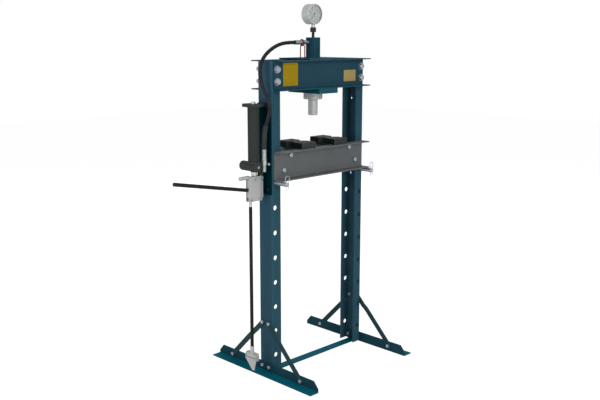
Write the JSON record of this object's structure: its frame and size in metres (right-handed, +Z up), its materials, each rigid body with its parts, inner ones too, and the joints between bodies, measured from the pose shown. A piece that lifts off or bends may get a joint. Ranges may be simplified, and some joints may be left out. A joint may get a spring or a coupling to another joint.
{
  "type": "workshop press",
  "caption": "Hydraulic floor press: an H frame with a pinned bed, a ram under the head with a gauge above, and a side pump worked by hand lever or foot pedal.",
  "frame": {"origin": "on the floor, midway between the posts", "axes": "+X from the pump's post to the other post, -Y towards the operator, +Z up"},
  "size_m": [1.4319, 0.83, 2.0815],
  "materials": {
    "frame_paint": "satin",
    "zinc": "satin",
    "bright_steel": "brushed",
    "black_paint": "satin",
    "bed_paint": "satin",
    "block_paint": "satin",
    "rubber": "matt",
    "red_wire": "gloss",
    "dial_white": "matt",
    "needle_black": "matt",
    "gauge_glass": "clear"
  },
  "bodies": {
    "frame": {"left_post": "frame_paint", "right_post": "frame_paint", "left_foot": "frame_paint", "right_foot": "frame_paint", "left_front_brace": "frame_paint", "left_rear_brace": "frame_paint", "right_front_brace": "frame_paint", "right_rear_brace": "frame_paint", "cross_tie": "frame_paint", "base_fasteners": "zinc", "head_front_channel": "frame_paint", "head_rear_channel": "frame_paint", "head_bolts": "zinc", "head_washers": "zinc", "head_nuts": "zinc", "head_top_plate": "frame_paint", "ram_support_plate": "frame_paint", "cylinder_barrel": "frame_paint", "cylinder_gland": "bright_steel", "gauge_adapter": "black_paint", "gauge_case": "bright_steel", "gauge_dial": "dial_white", "gauge_glass": "gauge_glass", "port_nipple": "zinc", "hose_nuts": "zinc", "hose_ferrules": "zinc", "pump_elbow": "zinc", "hose": "rubber", "hose_keeper": "red_wire", "bed_pins": "zinc", "pin_clips": "zinc", "pump_plate": "frame_paint", "pump_fasteners": "zinc", "pump_body": "black_paint", "pump_gland": "zinc", "tank_tube": "black_paint", "tank_cap": "black_paint", "tank_bolt": "zinc"},
    "ram": {"ram": "bright_steel", "ram_nose": "bright_steel", "piston_seal": "rubber"},
    "bed": {"bed_front_channel": "bed_paint", "bed_rear_channel": "bed_paint", "bed_spacers": "bed_paint", "bed_fasteners": "zinc", "left_press_block": "block_paint", "right_press_block": "block_paint"},
    "lever": {"lever_yoke": "zinc", "lever_pins": "zinc", "lever_fittings": "zinc", "hand_lever": "black_paint"},
    "plunger": {"plunger": "bright_steel"},
    "foot_rod": {"rod_end": "zinc", "pedal_rod": "black_paint", "pedal_hanger": "zinc"},
    "pedal": {"pedal": "zinc"},
    "release_valve": {"release_valve": "zinc"},
    "needle": {"gauge_needle": "needle_black"}
  },
  "joints": [
    {"name": "ram_slide", "type": "slide", "parent": "frame", "child": "ram", "axis": [0, 0, -1], "range_m": [0, 0.15], "stiffness_N_per_m": 1000, "springref_m": -0.2},
    {"name": "bed_lift", "type": "slide", "parent": "frame", "child": "bed", "axis": [0, 0, 1], "range_m": [0, 0.12]},
    {"name": "lever_swing", "type": "hinge", "parent": "frame", "child": "lever", "pos_m": [-0.412, 0, 1.143], "axis": [0, -1, 0], "range_deg": [0, 14], "stiffness_Nm_per_rad": 20, "springref_deg": -34.38},
    {"name": "plunger_slide", "type": "slide", "parent": "frame", "child": "plunger", "axis": [0, 0, -1], "range_m": [0, 0.0108]},
    {"name": "rod_hang", "type": "hinge", "parent": "lever", "child": "foot_rod", "pos_m": [-0.485, 0, 1.028], "axis": [0, -1, 0], "range_deg": [-14.5, 0.5]},
    {"name": "pedal_fold", "type": "hinge", "parent": "foot_rod", "child": "pedal", "pos_m": [-0.485, 0, 0.135], "axis": [0, 1, 0], "range_deg": [0, 75]},
    {"name": "valve_turn", "type": "hinge", "parent": "frame", "child": "release_valve", "pos_m": [-0.394, -0.043, 1.22], "axis": [0, -1, 0], "range_deg": [0, 200]},
    {"name": "needle_turn", "type": "hinge", "parent": "frame", "child": "needle", "pos_m": [0, -0.0105, 2.025], "axis": [0, 1, 0], "range_deg": [0, 270], "stiffness_Nm_per_rad": 0.002, "springref_deg": -28.65}
  ],
  "couplings": [
    {"joint": "plunger_slide", "follows": "lever_swing", "m_per_rad": 0.0441},
    {"joint": "rod_hang", "follows": "lever_swing", "ratio": -1}
  ]
}
